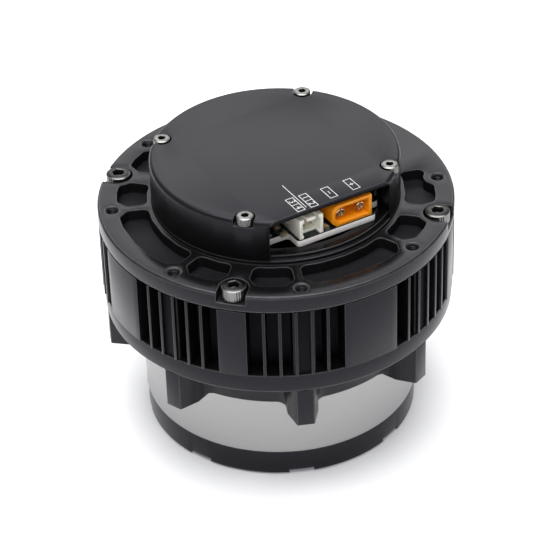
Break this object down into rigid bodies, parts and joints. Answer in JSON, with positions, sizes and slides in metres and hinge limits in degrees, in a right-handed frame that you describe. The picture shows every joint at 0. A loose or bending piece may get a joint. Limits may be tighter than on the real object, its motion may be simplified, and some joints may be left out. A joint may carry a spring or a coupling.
{
  "type": "robot joint actuator",
  "caption": "Planetary robot joint actuator with a finned round housing, an outrunner motor inside and a rotating output flange.",
  "frame": {"origin": "centre of the output face, at the bottom of the bounding box", "axes": "+Z is the turning axis, from the output face up to the rear cover; the plug window faces -Y"},
  "size_m": [0.08, 0.08, 0.0671],
  "materials": {
    "black_anodised": "satin black anodised aluminium",
    "ground_steel": "finely ground steel",
    "gear_steel": "hardened gear steel with a thin oil film",
    "bearing_steel": "polished bearing steel",
    "screw_steel": "stainless steel",
    "bare_aluminium": "machined aluminium",
    "magnet": "nickel-plated magnet",
    "lamination": "stacked electrical steel",
    "copper": "enamelled copper wire",
    "wire_red": "silicone wire insulation",
    "board": "dark solder mask over glass fibre",
    "chip": "moulded chip package",
    "can": "aluminium can",
    "connector_orange": "moulded orange nylon",
    "connector_cream": "moulded natural nylon",
    "gold": "gold-plated contact"
  },
  "bodies": {
    "housing": {"front_bearing_outer_race": "bearing_steel", "rear_bearing_outer_race": "bearing_steel", "output_bearing_outer_race": "bearing_steel", "output_cover": "black_anodised", "output_cover_screws": "screw_steel", "ring_gear": "ground_steel", "ring_gear_screws": "screw_steel", "stator_core": "lamination", "stator_windings": "copper", "phase_leads": "wire_red", "front_flange": "black_anodised", "heat_sink_ring": "black_anodised", "rear_flange": "black_anodised", "body_screws": "screw_steel", "driver_board": "board", "board_screws": "screw_steel", "controller_chip": "chip", "power_transistors": "chip", "capacitors": "can", "encoder_chips": "chip", "power_connector": "connector_orange", "power_pins": "gold", "signal_connector": "connector_cream", "signal_pins": "gold", "rear_cover": "black_anodised", "rear_cover_screws": "screw_steel"},
    "rotor": {"sun_gear_1": "gear_steel", "rotor_shaft": "gear_steel", "rotor_bell": "bare_aluminium", "rotor_bell_screws": "screw_steel", "rotor_magnets": "magnet", "rotor_encoder_magnet": "magnet", "front_bearing_inner_race": "bearing_steel", "rear_bearing_inner_race": "bearing_steel"},
    "front_ball_set": {"front_bearing_balls": "bearing_steel"},
    "rear_ball_set": {"rear_bearing_balls": "bearing_steel"},
    "output_ball_set": {"output_bearing_balls": "bearing_steel"},
    "first_carrier": {"first_carrier": "gear_steel", "first_carrier_pins": "gear_steel", "sun_gear_2": "gear_steel"},
    "planet_1a": {"planet_gear_1a": "gear_steel"},
    "planet_1b": {"planet_gear_1b": "gear_steel"},
    "planet_1c": {"planet_gear_1c": "gear_steel"},
    "output": {"output_flange": "black_anodised", "output_flange_screws": "screw_steel", "output_carrier": "gear_steel", "output_carrier_pins": "gear_steel", "output_encoder_rod": "gear_steel", "output_encoder_magnet": "magnet", "output_bearing_inner_race": "bearing_steel"},
    "planet_2a": {"planet_gear_2a": "gear_steel"},
    "planet_2b": {"planet_gear_2b": "gear_steel"},
    "planet_2c": {"planet_gear_2c": "gear_steel"}
  },
  "joints": [
    {"name": "rotor_spin", "type": "hinge", "parent": "housing", "child": "rotor", "pos_m": [0, 0, 0.04], "axis": [0, 0, 1], "continuous": true},
    {"name": "front_ball_set_spin", "type": "hinge", "parent": "housing", "child": "front_ball_set", "pos_m": [0, 0, 0.03485], "axis": [0, 0, 1], "continuous": true},
    {"name": "rear_ball_set_spin", "type": "hinge", "parent": "housing", "child": "rear_ball_set", "pos_m": [0, 0, 0.05135], "axis": [0, 0, 1], "continuous": true},
    {"name": "first_carrier_spin", "type": "hinge", "parent": "housing", "child": "first_carrier", "pos_m": [0, 0, 0.02485], "axis": [0, 0, 1], "continuous": true},
    {"name": "planet_1a_spin", "type": "hinge", "parent": "first_carrier", "child": "planet_1a", "pos_m": [0.0144, 0, 0.02835], "axis": [0, 0, 1], "continuous": true},
    {"name": "planet_1b_spin", "type": "hinge", "parent": "first_carrier", "child": "planet_1b", "pos_m": [-0.0072, 0.01247, 0.02835], "axis": [0, 0, 1], "continuous": true},
    {"name": "planet_1c_spin", "type": "hinge", "parent": "first_carrier", "child": "planet_1c", "pos_m": [-0.0072, -0.01247, 0.02835], "axis": [0, 0, 1], "continuous": true},
    {"name": "output_spin", "type": "hinge", "parent": "housing", "child": "output", "pos_m": [0, 0, 0.00665], "axis": [0, 0, 1], "continuous": true},
    {"name": "planet_2a_spin", "type": "hinge", "parent": "output", "child": "planet_2a", "pos_m": [0.0147, 0, 0.01975], "axis": [0, 0, 1], "continuous": true},
    {"name": "planet_2b_spin", "type": "hinge", "parent": "output", "child": "planet_2b", "pos_m": [-0.00735, 0.01273, 0.01975], "axis": [0, 0, 1], "continuous": true},
    {"name": "planet_2c_spin", "type": "hinge", "parent": "output", "child": "planet_2c", "pos_m": [-0.00735, -0.01273, 0.01975], "axis": [0, 0, 1], "continuous": true},
    {"name": "output_ball_set_spin", "type": "hinge", "parent": "housing", "child": "output_ball_set", "pos_m": [0, 0, 0.01015], "axis": [0, 0, 1], "continuous": true}
  ],
  "couplings": [
    {"joint": "front_ball_set_spin", "follows": "rotor_spin", "ratio": 0.4},
    {"joint": "rear_ball_set_spin", "follows": "rotor_spin", "ratio": 0.4},
    {"joint": "first_carrier_spin", "follows": "rotor_spin", "ratio": 0.125},
    {"joint": "planet_1a_spin", "follows": "rotor_spin", "ratio": -0.29167},
    {"joint": "planet_1b_spin", "follows": "rotor_spin", "ratio": -0.29167},
    {"joint": "planet_1c_spin", "follows": "rotor_spin", "ratio": -0.29167},
    {"joint": "output_spin", "follows": "rotor_spin", "ratio": 0.020833},
    {"joint": "planet_2a_spin", "follows": "rotor_spin", "ratio": -0.052083},
    {"joint": "planet_2b_spin", "follows": "rotor_spin", "ratio": -0.052083},
    {"joint": "planet_2c_spin", "follows": "rotor_spin", "ratio": -0.052083},
    {"joint": "output_ball_set_spin", "follows": "rotor_spin", "ratio": 0.0097373}
  ]
}
